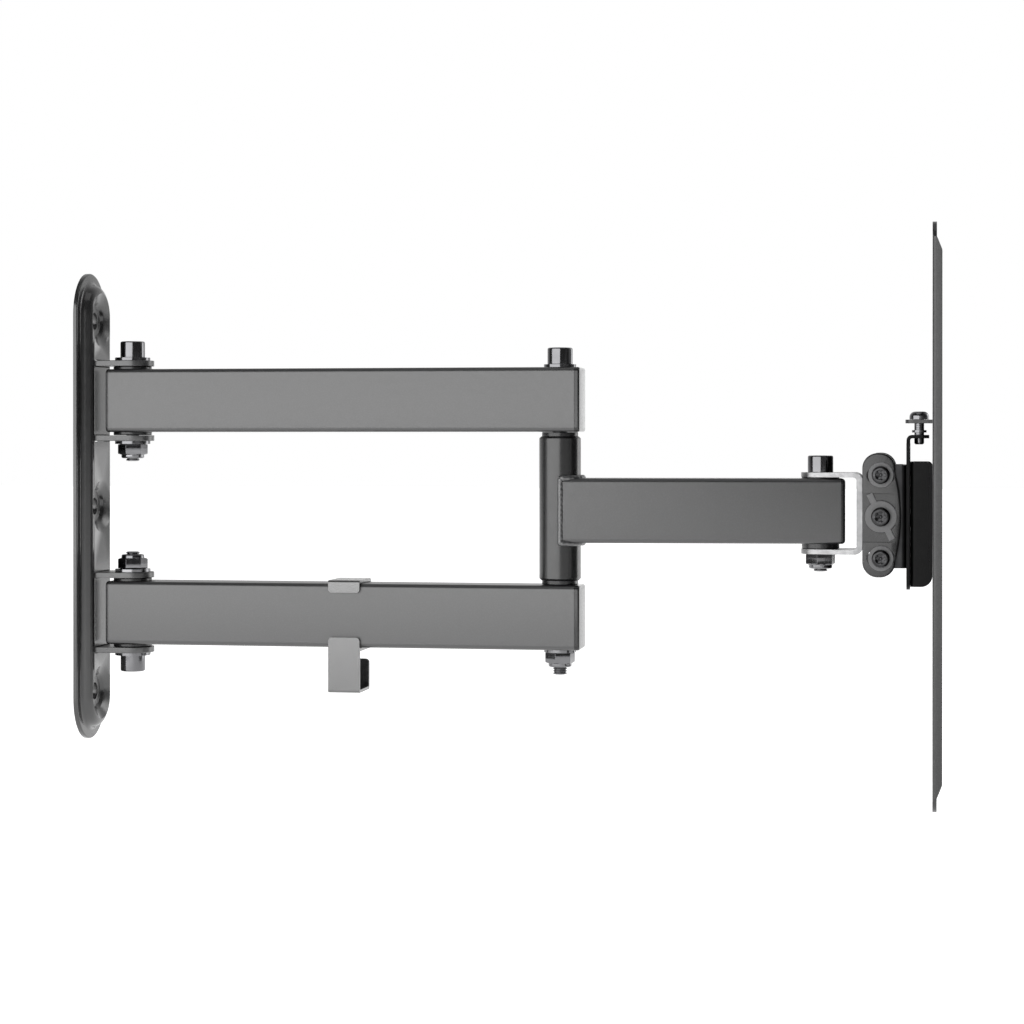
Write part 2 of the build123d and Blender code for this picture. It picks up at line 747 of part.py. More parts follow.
pivot_screws = []
wing_washers = []
pivot_nuts = []
clamp_screws = []
clamp_washers = []
clamp_nuts = []
friction_washers = []
nut_seat = tilt_flange_inner - face_play
tilt_bore = tilt_screw_radius + fixed_clearance
tilt_nut = bevelled_hex(tilt_nut_flats, 0, tilt_nut_height, nut_bevel)
tilt_nut -= rod(tilt_bore, -overshoot, tilt_nut_height + overshoot)
for side in (-1, 1):
    axis_place = Pos(tilt_x, 0, tilt_z)
    seat = yoke_half_width + wing_sheet
    shank = seat - nut_seat + tilt_nut_height
    screw = lobed_screw(tilt_head_radius, screw_head_height, tilt_screw_radius, shank)
    pivot_screws.append(axis_place * facing(side, Pos(0, 0, seat) * screw))
    wing = Pos(0, 0, yoke_half_width) * wing_washer()
    wing_washers.append(axis_place * facing(side, wing))
    pivot_nuts.append(axis_place * facing(side, Pos(0, 0, nut_seat - tilt_nut_height) * tilt_nut))
    friction = Pos(0, 0, tilt_half_width + face_play) * ring(friction_radius, tilt_bore, 0, friction_sheet)
    friction_washers.append(axis_place * facing(side, friction))
    for up in (-1, 1):
        clamp_place = Pos(tilt_x, 0, tilt_z + up * clamp_pitch)
        base = yoke_half_width + face_play
        seat = base + clamp_washer_sheet
        shank = seat - tilt_flange_inner + tilt_nut_height
        screw = lobed_screw(clamp_head_radius, screw_head_height, tilt_screw_radius, shank)
        clamp_screws.append(clamp_place * facing(side, Pos(0, 0, seat) * screw))
        washer = ring(clamp_washer_radius, tilt_bore, base, seat)
        clamp_washers.append(clamp_place * facing(side, washer))
        nut = Pos(0, 0, tilt_flange_inner - tilt_nut_height) * tilt_nut
        clamp_nuts.append(clamp_place * facing(side, nut))

head_screw, head_nut = pivot_screw(False, head_z, swivel_outer, swivel_outer, thread_tail)
yoke_rivet = rivet(swivel_web_x, yoke_x + yoke_sheet, rivet_back_height, rivet_head_height)
yoke_rivets = [Pos(0, 0, tilt_z + z) * yoke_rivet for z in rivet_heights]
nodes["swivel_bracket"] = move([swivel_bracket()], head_place)
nodes["tilt_yoke"] = move([tilt_yoke()], head_place)
nodes["yoke_rivets"] = move(yoke_rivets, head_place)
nodes["head_pivot_screw"] = move([head_screw], head_place)
nodes["head_pivot_lock_nut"] = move([head_nut], head_place)
nodes["tilt_pivot_screws"] = move(pivot_screws, head_place)
nodes["tilt_wing_washers"] = move(wing_washers, head_place)
nodes["tilt_pivot_nuts"] = move(pivot_nuts, head_place)
nodes["tilt_friction_washers"] = move(friction_washers, head_place)

# Tilting part: tilt bracket, hook plate and its studs

stud_places = [Pos(0, 0, z) for z in stud_heights]


def tilt_bracket():
    """A channel whose flanges swing inside the yoke and whose web carries the hook plate."""
    outer = block(
        tilt_rear_x,
        hook_x,
        -tilt_half_width,
        tilt_half_width,
        tilt_z - tilt_half_height,
        tilt_z + tilt_half_height,
    )
    outer = fillet(edges_at(outer, Vector(1, 0, 0), hook_x, Axis.Z), tilt_bend)
    inner = tilt_flange_inner
    bracket = outer - block(0, tilt_web_x, -inner, inner, -through, through)
    bracket = fillet(edges_at(bracket, Vector(1, 0, 0), tilt_rear_x, Axis.Y), tilt_corner)
    for z in (-clamp_pitch, 0, clamp_pitch):
        bracket -= Pos(tilt_x, 0, tilt_z + z) * Rot(90, 0, 0) * rod(tilt_bore, -through, through)
    for place in stud_places:
        bracket -= place * Rot(0, 90, 0) * rod(stud_tail_radius + fixed_clearance, tilt_x, through)
    return bracket


def hook_plate():
    """A flat plate with rounded lower corners and a tab bent towards the screen at the top."""
    front = hook_x + hook_sheet
    plate = block(hook_x, front, -hook_half_width, hook_half_width, hook_bottom, hook_top)
    plate = fillet(edges_at(plate, Vector(0, 0, 1), hook_bottom, Axis.X), hook_corner)
    tab = block(hook_x, hook_tab_end, -hook_tab_half, hook_tab_half, hook_top - hook_sheet, hook_top)
    tab = fillet(edges_at(tab, Vector(1, 0, 0), hook_tab_end, Axis.Z), hook_tab_corner)
    for y0, y1 in ((-through, -hook_tab_half), (hook_tab_half, through)):
        plate -= block(0, front + overshoot, y0, y1, hook_top - hook_shoulder, hook_top + overshoot)
    plate += tab
    for x, z, radius in ((hook_x, hook_top, hook_bend), (front, hook_top - hook_sheet, hook_bend_inner)):
        bend = [e for e in edges_at(plate, Vector(1, 0, 0), x, Axis.Y) if abs(e.center().Z - z) < 0.01]
        plate = fillet(bend, radius)
    plate -= rod(lock_radius + loose_clearance, hook_top - hook_shoulder, hook_top + overshoot, lock_x)
    for place in stud_places:
        plate -= place * Rot(0, 90, 0) * rod(stud_tail_radius + fixed_clearance, tilt_x, through)
    return plate


def hook_stud():
    """A shouldered stud: riveted tail, neck in the keyhole and a wide flat head."""
    face = hook_x + hook_sheet
    inner = channel_x + channel_sheet + stud_play
    outer = inner + stud_head_thickness
    back = tilt_web_x - stud_tail_head_height
    stud = rod(stud_tail_radius, tilt_web_x, face) + rod(stud_neck_radius, face, inner)
    head = rod(stud_head_radius, inner, outer)
    head = chamfer(edges_at(head, Vector(0, 0, 1), outer), stud_head_bevel)
    tail = rod(stud_tail_head_radius, back, tilt_web_x)
    tail = fillet(edges_at(tail, Vector(0, 0, 1), back), stud_tail_round)
    return Rot(0, 90, 0) * (stud + head + tail)


nodes["tilt_bracket"] = move([tilt_bracket()], head_place)
nodes["hook_plate"] = move([hook_plate()], head_place)
nodes["hook_studs"] = move([place * hook_stud() for place in stud_places], head_place)
nodes["tilt_clamp_screws"] = move(clamp_screws, head_place)
nodes["tilt_clamp_washers"] = move(clamp_washers, head_place)
nodes["tilt_clamp_nuts"] = move(clamp_nuts, head_place)

# Screen plate with its slide channel


def slide_channel():
    """A hat-shaped channel, spot-welded by its brim, with two keyholes that hang on the studs."""
    half = channel_half_width
    channel = block(channel_x, screen_x, -half, half, channel_bottom, channel_top)
    channel = fillet(edges_at(channel, Vector(1, 0, 0), channel_x, Axis.Z), channel_bend)
    inner = channel_half_width - channel_sheet
    channel -= block(channel_x + channel_sheet, screen_x, -inner, inner, -through, through)
    for z, radius in ((channel_top, channel_top_corner), (channel_bottom, channel_bottom_corner)):
        ends = edges_at(channel, Vector(1, 0, 0), screen_x, Axis.Y)
        channel = fillet([e for e in ends if abs(e.center().Z - z) < 0.01], radius)
    brim_x = screen_x - channel_flange_sheet
    for y0, y1 in ((-channel_flange_half, -inner), (inner, channel_flange_half)):
        channel += block(brim_x, screen_x, y0, y1, channel_flange_bottom, channel_flange_top)
    neck = stud_neck_radius + stud_play
    slot_end = channel_x + channel_sheet + overshoot
    for z in stud_heights:
        drop = z - lift_travel
        channel -= Pos(0, 0, z) * Rot(0, 90, 0) * rod(neck, 0, slot_end)
        channel -= block(0, slot_end, -neck, neck, drop, z)
        channel -= Pos(0, 0, drop) * Rot(0, 90, 0) * rod(keyhole_radius, 0, slot_end)
    return channel


def window(turn):
    """One of the four windows of the screen plate, turned about the plate's centre."""
    sketch = make_face(
        Polyline(
            (-window_inner_half, window_inner),
            (window_inner_half, window_inner),
            (window_outer_half, window_outer),
            (-window_outer_half, window_outer),
            close=True,
        )
    )
    return Rot(0, 0, turn) * fillet(sketch.vertices(), window_corner)


def hole_square(pitch, radius):
    """Four holes on the corners of a square."""
    return [Pos(y, z) * Circle(radius) for y in (-pitch / 2, pitch / 2) for z in (-pitch / 2, pitch / 2)]


def side_flange(side):
    """A low flange along one side of the screen plate, tapered away at both ends."""
    front = screen_x + screen_sheet
    end = screen_x + screen_flange
    straight = screen_flange_half - screen_flange_taper
    outline = make_face(
        Polyline(
            (screen_x, -screen_flange_half),
            (front, -screen_flange_half),
            (end, -straight),
            (end, straight),
            (front, screen_flange_half),
            (screen_x, screen_flange_half),
            close=True,
        )
    )
    for z in (-straight, straight):
        outline = round_at(outline, end, z, screen_flange_round)
    flange = extrude(Plane.XZ * outline, screen_sheet)
    y = -screen_half + screen_sheet if side < 0 else screen_half
    return Pos(0, y, 0) * flange


def screen_plate():
    """Square plate with four windows, hole patterns, side flanges and a tab for the lock screw."""
    sheet = RectangleRounded(2 * screen_half, 2 * screen_half, screen_corner)
    for turn in (0, 90, 180, 270):
        sheet -= window(turn)
    for hole in hole_square(large_hole_pitch, large_hole_radius):
        sheet -= hole
    for pitch in small_hole_pitches:
        for hole in hole_square(pitch, small_hole_radius):
            sheet -= hole
    plate = Pos(screen_x, 0, 0) * extrude(Plane.YZ * sheet, screen_sheet)
    plate += side_flange(-1)
    plate += side_flange(1)
    bend = [
        e
        for e in plate.edges().filter_by(Axis.Z)
        if abs(e.center().X - screen_x) < 0.01 and abs(abs(e.center().Y) - screen_half) < 0.01
    ]
    plate = fillet(bend, screen_bend)
    lance = lock_tab_half + lance_gap
    tab_top = lock_tab_z + lock_tab_sheet
    front = screen_x + screen_sheet
    back = screen_x - overshoot
    plate -= block(back, front + overshoot, -lance, lance, tab_top, lock_tab_z + lance_height)
    tab = block(lock_tab_end, front, -lock_tab_half, lock_tab_half, lock_tab_z, tab_top)
    tab = fillet(edges_at(tab, Vector(1, 0, 0), lock_tab_end, Axis.Z), lock_tab_corner)
    plate += tab
    plate -= rod(lock_radius + running_clearance, lock_tab_z - overshoot, tab_top + overshoot, lock_x)
    return plate


def lock_screw():
    """A domed screw with a cross recess that stays captive in the screen plate's tab."""
    seat = lock_tab_z + lock_tab_sheet + face_play
    top = seat + lock_head_height
    head = rod(lock_head_radius, seat, top)
    head = fillet(edges_at(head, Vector(0, 0, 1), top), lock_head_round)
    half = cross_half_length
    arm = block(-half, half, -cross_half_width, cross_half_width, top - cross_depth, top)
    for turn in (0, 90):
        head -= Rot(0, 0, turn) * arm
    shank = rod(lock_radius, lock_tip_z, seat)
    shank = chamfer(edges_at(shank, Vector(0, 0, 1), lock_tip_z), lock_tip_bevel)
    return Pos(lock_x, 0, 0) * (head + shank)


retaining_ring = ring(ring_radius, lock_radius + fixed_clearance, ring_z, ring_z + ring_sheet, lock_x)
nodes["screen_plate"] = move([screen_plate()], head_place)
nodes["slide_channel"] = move([slide_channel()], head_place)
nodes["plate_lock_screw"] = move([lock_screw()], head_place)
nodes["lock_screw_retaining_ring"] = move([retaining_ring], head_place)

for name, solids in nodes.items():
    shape = solids[0] if len(solids) == 1 else Compound(children=solids)
    export_step(shape, "parts/" + name + ".step")
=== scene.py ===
import json
import math
import random

import bmesh
import bpy
from mathutils import Matrix, Vector


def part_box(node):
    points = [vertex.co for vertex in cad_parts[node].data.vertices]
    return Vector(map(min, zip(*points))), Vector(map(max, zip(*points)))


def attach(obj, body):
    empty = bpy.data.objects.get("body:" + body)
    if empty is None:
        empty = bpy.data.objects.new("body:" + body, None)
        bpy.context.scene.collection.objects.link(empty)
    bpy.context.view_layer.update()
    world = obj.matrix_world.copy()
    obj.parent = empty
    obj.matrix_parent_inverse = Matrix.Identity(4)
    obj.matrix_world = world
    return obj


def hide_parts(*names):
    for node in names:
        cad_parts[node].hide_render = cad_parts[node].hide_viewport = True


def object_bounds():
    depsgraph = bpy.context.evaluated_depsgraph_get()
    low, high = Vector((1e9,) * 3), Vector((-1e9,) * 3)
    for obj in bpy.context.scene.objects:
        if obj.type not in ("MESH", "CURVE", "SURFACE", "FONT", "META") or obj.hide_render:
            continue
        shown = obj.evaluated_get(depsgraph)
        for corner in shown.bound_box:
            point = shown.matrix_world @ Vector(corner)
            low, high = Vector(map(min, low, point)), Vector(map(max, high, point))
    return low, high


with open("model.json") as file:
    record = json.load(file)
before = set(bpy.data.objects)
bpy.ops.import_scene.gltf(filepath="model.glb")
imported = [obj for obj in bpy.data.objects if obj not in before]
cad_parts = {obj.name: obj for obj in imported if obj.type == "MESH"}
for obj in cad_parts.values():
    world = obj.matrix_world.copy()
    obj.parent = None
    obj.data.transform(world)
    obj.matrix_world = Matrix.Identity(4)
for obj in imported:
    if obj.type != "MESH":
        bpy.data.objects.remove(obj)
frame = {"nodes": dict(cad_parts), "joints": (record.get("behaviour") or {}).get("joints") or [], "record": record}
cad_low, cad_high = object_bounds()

nodes = frame["nodes"]
hinge_places = {j["name"]: Vector(j["pos_m"]) for j in frame["joints"] if j["type"] == "hinge"}
MM = 0.001

# Pivot screws, in millimetres
PIVOT_RADIUS = 3.0
PIVOT_PITCH = 1.0
PIVOT_THREAD_LENGTH = 18.0
CAP_HEAD_HEIGHT = 7.0
CAP_HEAD_ROUND = 0.7
CAP_SEAT_BEVEL = 0.15
SOCKET_HALF_FLATS = 2.5
SOCKET_DEPTH = 3.4
SOCKET_MOUTH_BEVEL = 0.35
DRILL_CONE = 0.9

# Lock nuts, in millimetres
NUT_HALF_FLATS = 5.5
NUT_HEX_HEIGHT = 4.6
NUT_COLLAR_RADIUS = 4.9
NUT_COLLAR_ROUND = 0.7
NUT_MOUTH_RADIUS = 3.9
NUT_HEIGHT = 6.2
NUT_SEAT_BEVEL = 0.3
NUT_FOOT_CHAMFER = 0.55
NUT_TOP_CHAMFER = 0.7
NUT_TURN = math.radians(20.0)
INSERT_RADIUS = 3.75
INSERT_SEAT = 5.2

# Tilt screws, in millimetres
TILT_SCREW_RADIUS = 2.5
TILT_PITCH = 0.8
TILT_THREAD_LENGTH = 5.6
LOBED_HEAD_HEIGHT = 2.8
LOBED_HEAD_ROUND = 1.1
LOBE_DEPTH = 0.17
TILT_NUT_HEIGHT = 4.0

# Rivets, lock screw and spot welds, in millimetres
SWIVEL_WEB_SHEET = 2.6
RIVET_SHANK_RADIUS = 2.0
RIVET_HEAD_HEIGHT = 1.2
RIVET_HEAD_ROUND = 0.9
LOCK_SCREW_RADIUS = 2.05
LOCK_PITCH = 0.7
TAB_ABOVE_RING = 3.6
CHANNEL_BRIM_SHEET = 1.2
SPOT_WELD_SIDE = 16.0
SPOT_WELD_HEIGHTS = ((12.0, "upper"), (-18.0, "lower"))

# Weld bead, in millimetres; the ripple periods are counted in rings
BEAD_RADIUS = 1.2
BEAD_START = 0.6
BEAD_GAP = 0.2
BEAD_OVERLAP = 0.1
BEAD_STEP = 0.25
BEAD_SIDES = 12
RIPPLE = 0.05
SHORT_RIPPLE = 8.5
LONG_RIPPLE = 37.0
RIPPLE_CHANCE = 0.012
SEED = 7

# Meshes and shading
SEGMENTS = 96
BEVEL_SAMPLES = 4
NODE_SMOOTH_ANGLE = math.radians(28.0)
PIECE_SMOOTH_ANGLE = math.radians(32.0)
MERGE_DISTANCE = 0.000001


# ---------------------------------------------------------------- materials

def new_material(name, base, roughness, metallic=0.0, specular=0.5):
    """A material with a Principled shader whose plain numbers sit on its own sockets."""
    mat = bpy.data.materials.new(name)
    mat.use_nodes = True
    shader = mat.node_tree.nodes["Principled BSDF"]
    shader.inputs["Base Color"].default_value = (*base, 1.0)
    shader.inputs["Roughness"].default_value = roughness
    shader.inputs["Metallic"].default_value = metallic
    shader.inputs["Specular IOR Level"].default_value = specular
    return mat, shader


def add(mat, kind, **values):
    """A node of a material or world, with its settings and socket values given by name."""
    node = mat.node_tree.nodes.new(kind)
    for key, value in values.items():
        if hasattr(node, key):
            setattr(node, key, value)
        else:
            node.inputs[key.replace("_", " ").title()].default_value = value
    return node


def link(mat, start, end):
    mat.node_tree.links.new(start, end)


def noise(mat, scale, detail=2.0, stretch=(1.0, 1.0, 1.0)):
    """A noise texture in object space; scale is in features per metre."""
    place = add(mat, "ShaderNodeTexCoord")
    mapping = add(mat, "ShaderNodeMapping")
    mapping.inputs["Scale"].default_value = stretch
    tex = add(mat, "ShaderNodeTexNoise", Scale=scale, Detail=detail)
    link(mat, place.outputs["Object"], mapping.inputs["Vector"])
    link(mat, mapping.outputs["Vector"], tex.inputs["Vector"])
    return tex.outputs["Fac"]


def ramp(mat, value, low, high, start=0.3, end=0.7):
    """A value from start to end, spread between low and high."""
    node = add(mat, "ShaderNodeMapRange", From_Min=start, From_Max=end, To_Min=low, To_Max=high)
    link(mat, value, node.inputs["Value"])
    return node.outputs["Result"]


def mix_colour(mat, factor, first, second):
    """A colour between two, where either may be a colour or the output of a node."""
    node = add(mat, "ShaderNodeMix", data_type="RGBA")
    link(mat, factor, node.inputs["Factor"])
    sockets = [s for s in node.inputs if s.type == "RGBA"]
    for value, socket in zip((first, second), sockets):
        if isinstance(value, tuple):
            socket.default_value = (*value, 1.0)
        else:
            link(mat, value, socket)
    return [s for s in node.outputs if s.type == "RGBA"][0]


def edge_mask(mat, radius):
    """1 on sharp edges and 0 on flat faces, from how far a rounded normal leans from the true one."""
    bevel = add(mat, "ShaderNodeBevel", samples=BEVEL_SAMPLES, Radius=radius)
    geometry = add(mat, "ShaderNodeNewGeometry")
    dot = add(mat, "ShaderNodeVectorMath", operation="DOT_PRODUCT")
    link(mat, bevel.outputs["Normal"], dot.inputs[0])
    link(mat, geometry.outputs["Normal"], dot.inputs[1])
    return ramp(mat, dot.outputs["Value"], 1.0, 0.0, start=0.8, end=0.99)


def bump(mat, shader, layers, distance, edge_radius):
    """Softly rounded edges, with bump layers, each a height and a strength, stacked on them."""
    bevel = add(mat, "ShaderNodeBevel", samples=BEVEL_SAMPLES, Radius=edge_radius)
    normal = bevel.outputs["Normal"]
    for height, strength in layers:
        node = add(mat, "ShaderNodeBump", Strength=strength, Distance=distance)
        link(mat, height, node.inputs["Height"])
        link(mat, normal, node.inputs["Normal"])
        normal = node.outputs["Normal"]
    link(mat, normal, shader.inputs["Normal"])


def powder_coat(name, base, speck_and_edge_highlight, roughness, specular, grain):
    """Fine-grained coat: orange-peel grain, a faint cloudy tone and a patchy painted highlight on the edges."""
    mat, shader = new_material(name, base, roughness, specular=specular)
    lighter = tuple(c * 1.25 for c in base)
    clouds = ramp(mat, noise(mat, 28.0, 3.0), 0.0, 0.5)
    tone = mix_colour(mat, clouds, base, lighter)
    specks = ramp(mat, noise(mat, 1700.0), 0.0, 0.22, start=0.45, end=0.75)
    tone = mix_colour(mat, specks, tone, speck_and_edge_highlight)
    # Painted highlight: patches of the lighter speck tone along sharp edges stand in for light caught by the
    # rounded edges.
    patchy_edge_highlight = add(mat, "ShaderNodeMath", operation="MULTIPLY")
    link(mat, edge_mask(mat, 0.0005), patchy_edge_highlight.inputs[0])
    link(mat, ramp(mat, noise(mat, 160.0, 4.0), 0.05, 0.35), patchy_edge_highlight.inputs[1])
    tone = mix_colour(mat, patchy_edge_highlight.outputs["Value"], tone, speck_and_edge_highlight)
    link(mat, tone, shader.inputs["Base Color"])
    gloss = ramp(mat, noise(mat, 420.0, 3.0), roughness - 0.02, roughness + 0.03)
    link(mat, gloss, shader.inputs["Roughness"])
    orange_peel = (noise(mat, 1100.0), 0.1 * grain)
    powder = (noise(mat, 2600.0, 1.0), 0.12 * grain)
    bump(mat, shader, (orange_peel, powder), distance=0.0002, edge_radius=0.0003)
    return mat


def moulded_plastic(name, base, roughness, grain, specular=0.5):
    """Moulded plastic: fine even grain, faint flow clouds and a soft painted highlight on the edges."""
    mat, shader = new_material(name, base, roughness, specular=specular)
    lighter = tuple(min(1.0, c * 1.4 + 0.006) for c in base)
    clouds = ramp(mat, noise(mat, 60.0, 3.0), 0.0, 0.5)
    tone = mix_colour(mat, clouds, base, lighter)
    # Painted highlight: sharp edges turn towards the lighter tone, for light caught by the rounded edges.
    painted_edge_highlight = ramp(mat, edge_mask(mat, 0.0004), 0.0, 0.4, start=0.0, end=1.0)
    tone = mix_colour(mat, painted_edge_highlight, tone, lighter)
    link(mat, tone, shader.inputs["Base Color"])
    gloss = ramp(mat, noise(mat, 900.0), roughness - 0.04, roughness + 0.05)
    link(mat, gloss, shader.inputs["Roughness"])
    mould_grain = (noise(mat, 3200.0), 0.12 * grain)
    flow = (noise(mat, 220.0, 1.0), 0.05 * grain)
    bump(mat, shader, (mould_grain, flow), distance=0.0002, edge_radius=0.0003)
    return mat


def plated_steel(name, base, roughness, stretch, depth=0.08):
    """Plated steel: drawn streaks, small clouds in the plating and a painted highlight on the edges."""
    mat, shader = new_material(name, base, roughness, metallic=1.0)
    brighter = tuple(min(1.0, c * 1.5 + 0.02) for c in base)
    clouds = ramp(mat, noise(mat, 90.0, 4.0), 0.0, 0.5)
    tone = mix_colour(mat, clouds, base, brighter)
    # Painted highlight: sharp edges turn towards the brighter tone, for light caught by the rounded edges.
    painted_edge_highlight = ramp(mat, edge_mask(mat, 0.0003), 0.0, 0.5, start=0.0, end=1.0)
    tone = mix_colour(mat, painted_edge_highlight, tone, brighter)
    link(mat, tone, shader.inputs["Base Color"])
    streaks = noise(mat, 700.0, 3.0, stretch)
    link(mat, ramp(mat, streaks, roughness * 0.8, roughness * 1.3), shader.inputs["Roughness"])
    bump(mat, shader, ((streaks, depth),), distance=0.0001, edge_radius=0.0002)
    return mat


# The finish of each material slot. The cable clip is the only part in the slot called grey_plastic, and
# it is a glossy near-black that looks light where it mirrors the softbox.
# In every coat the second colour tints the specks and is also the painted highlight on the edges.
finishes = {
    "powder_coat": powder_coat(
        "powder_coat", base=(0.015, 0.015, 0.0155), speck_and_edge_highlight=(0.05, 0.05, 0.052),
        roughness=0.31, specular=1.0, grain=0.3
    ),
    "satin_black_tube": powder_coat(
        "satin_black_tube", base=(0.003, 0.003, 0.0032), speck_and_edge_highlight=(0.008, 0.008, 0.0084),
        roughness=0.24, specular=0.7, grain=0.08
    ),
    "coated_washer": powder_coat(
        "coated_washer", base=(0.07, 0.07, 0.072), speck_and_edge_highlight=(0.16, 0.16, 0.163),
        roughness=0.4, specular=0.8, grain=1.0
    ),
    "black_channel": powder_coat(
        "black_channel", base=(0.002, 0.002, 0.0021), speck_and_edge_highlight=(0.012, 0.012, 0.0125),
        roughness=0.42, specular=0.12, grain=0.4
    ),
    "black_hardware": plated_steel(
        "black_hardware", base=(0.14, 0.14, 0.145), roughness=0.13, stretch=(1.0, 1.0, 0.15)
    ),
    "bracket_steel": plated_steel(
        "bracket_steel", base=(0.24, 0.24, 0.243), roughness=0.36, stretch=(1.0, 0.2, 1.0)
    ),
    "black_plastic": moulded_plastic(
        "black_plastic", base=(0.007, 0.007, 0.0075), roughness=0.24, grain=0.6
    ),
    "grey_plastic": moulded_plastic(
        "grey_plastic", base=(0.006, 0.006, 0.0063), roughness=0.2, grain=1.6, specular=1.7
    ),
}
nylon = moulded_plastic("nylon_insert", base=(0.03, 0.03, 0.032), roughness=0.35, grain=1.0)
weld_coat = powder_coat(
    "weld_coat", base=(0.03, 0.03, 0.031), speck_and_edge_highlight=(0.08, 0.08, 0.082), roughness=0.3, specular=1.2, grain=1.0
)
dark_screw = plated_steel(
    "dark_screw", base=(0.03, 0.03, 0.031), roughness=0.15, stretch=(1.0, 1.0, 1.0), depth=0.1
)

# Parts that look different from the rest of their slot
own_looks = {
    "wall_plate": powder_coat(
        "wall_plate_coat", base=(0.012, 0.012, 0.0123), speck_and_edge_highlight=(0.035, 0.035, 0.036),
        roughness=0.2, specular=0.85, grain=0.25
    ),
    "screen_plate": powder_coat(
        "screen_plate_coat", base=(0.008, 0.008, 0.0082), speck_and_edge_highlight=(0.08, 0.08, 0.081),
        roughness=0.31, specular=0.6, grain=0.3
    ),
    "tilt_yoke": powder_coat(
        "yoke_coat", base=(0.008, 0.008, 0.0083), speck_and_edge_highlight=(0.02, 0.02, 0.0205),
        roughness=0.23, specular=0.55, grain=0.12
    ),
    # Painted shade: a darker copy of the light bracket steel, standing in for the shade across the tilt bracket.
    "tilt_bracket": plated_steel(
        "tilt_bracket_steel_painted_shade", base=(0.03, 0.03, 0.031), roughness=0.33, stretch=(1.0, 1.0, 0.2)
    ),
    "upper_arm_end_cap": moulded_plastic(
        "cap_plastic", base=(0.005, 0.005, 0.0053), roughness=0.16, grain=0.35
    ),
}
own_looks["lower_arm_end_cap"] = own_looks["upper_arm_end_cap"]


def smoothing():
    """A modifier's node group: smooth shading over shallow edges, sharp over steep ones."""
    group = bpy.data.node_groups.new("smooth_by_angle", "GeometryNodeTree")
    group.interface.new_socket("Geometry", in_out="INPUT", socket_type="NodeSocketGeometry")
    group.interface.new_socket("Geometry", in_out="OUTPUT", socket_type="NodeSocketGeometry")
    start = group.nodes.new("NodeGroupInput")
    end = group.nodes.new("NodeGroupOutput")
    merge = group.nodes.new("GeometryNodeMergeByDistance")
    merge.inputs["Distance"].default_value = MERGE_DISTANCE
    smooth = group.nodes.new("GeometryNodeSetShadeSmooth")
    smooth.domain = "FACE"
    angle = group.nodes.new("GeometryNodeInputMeshEdgeAngle")
    steep = group.nodes.new("FunctionNodeCompare")
    steep.data_type = "FLOAT"
    steep.operation = "GREATER_THAN"
    steep.inputs[1].default_value = NODE_SMOOTH_ANGLE
    sharp = group.nodes.new("GeometryNodeSetShadeSmooth")
    sharp.domain = "EDGE"
    sharp.inputs["Shade Smooth"].default_value = False
    group.links.new(start.outputs[0], merge.inputs["Geometry"])
    group.links.new(merge.outputs["Geometry"], smooth.inputs["Geometry"])
    group.links.new(smooth.outputs["Geometry"], sharp.inputs["Geometry"])
    group.links.new(angle.outputs["Unsigned Angle"], steep.inputs[0])
    group.links.new(steep.outputs["Result"], sharp.inputs["Selection"])
    group.links.new(sharp.outputs["Geometry"], end.inputs[0])
    return group


smooth_group = smoothing()
for part in frame["record"]["subparts"]:
    node = nodes[part["node"]]
    node.data.materials.clear()
    node.data.materials.append(own_looks.get(part["node"], finishes[part["material_slot"]]))
    node.modifiers.new("smooth_by_angle", "NODES").node_group = smooth_group


# ---------------------------------------------------------------- turned pieces

def row_radius(radius, shape, angle):
    """Radius of one row at an angle: round, hexagonal (given half the width across flats) or six-lobed."""
    if shape == "hex":
        return radius / math.cos(angle % (math.pi / 3) - math.pi / 6)
    if shape == "lobed":
        return radius * (1.0 + LOBE_DEPTH * math.cos(6.0 * angle))
    return radius


def keep(bm, name, place, material, body, replaced=()):
    """A finished mesh as a piece: placed, shaded, riding on its body and standing for CAD nodes."""
    bmesh.ops.recalc_face_normals(bm, faces=bm.faces)
    bmesh.ops.transform(bm, matrix=place, verts=bm.verts)
    mesh = bpy.data.meshes.new(name)
    bm.to_mesh(mesh)
    bm.free()
    mesh.shade_smooth()
    mesh.set_sharp_from_angle(angle=PIECE_SMOOTH_ANGLE)
    mesh.materials.append(material)
    piece = bpy.data.objects.new(name, mesh)
    bpy.context.scene.collection.objects.link(piece)
    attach(piece, body)
    if replaced:
        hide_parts(*replaced)


def lathe(name, rows, place, material, body, replaced=(), turn=0.0):
    """A closed turned piece along Z, from rows of (radius, height, shape) in millimetres."""
    bm = bmesh.new()
    rings = []
    for radius, height, shape in rows:
        ring = []
        for step in range(SEGMENTS):
            angle = 2.0 * math.pi * step / SEGMENTS
            out = row_radius(radius, shape, angle) * MM
            around = angle + turn
            ring.append(bm.verts.new((out * math.cos(around), out * math.sin(around), height * MM)))
        rings.append(ring)
    for lower, upper in zip(rings, rings[1:]):
        for step in range(SEGMENTS):
            after = (step + 1) % SEGMENTS
            bm.faces.new((lower[step], lower[after], upper[after], upper[step]))
    bm.faces.new(rings[0])
    bm.faces.new(rings[-1])
    keep(bm, name, place, material, body, replaced)


def thread(radius, low, high, pitch):
    """Rows of a rolled thread between two heights: root, crest, crest, root for each turn."""
    root = radius - 0.5 * pitch
    profile = ((root, 0.05), (radius, 0.42), (radius, 0.55), (root, 0.92))
    rows = []
    for turn in range(int((high - low) / pitch)):
        z = low + turn * pitch
        for out, fraction in profile:
            rows.append((out, z + fraction * pitch, "round"))
    return rows


def rounded(radius, height, rounding, steps=5):
    """Rows round the upper rim of a turned shape."""
    rows = []
    for step in range(steps + 1):
        angle = 0.5 * math.pi * step / steps
        out = radius - rounding + rounding * math.cos(angle)
        rows.append((out, height - rounding + rounding * math.sin(angle), "round"))
    return rows


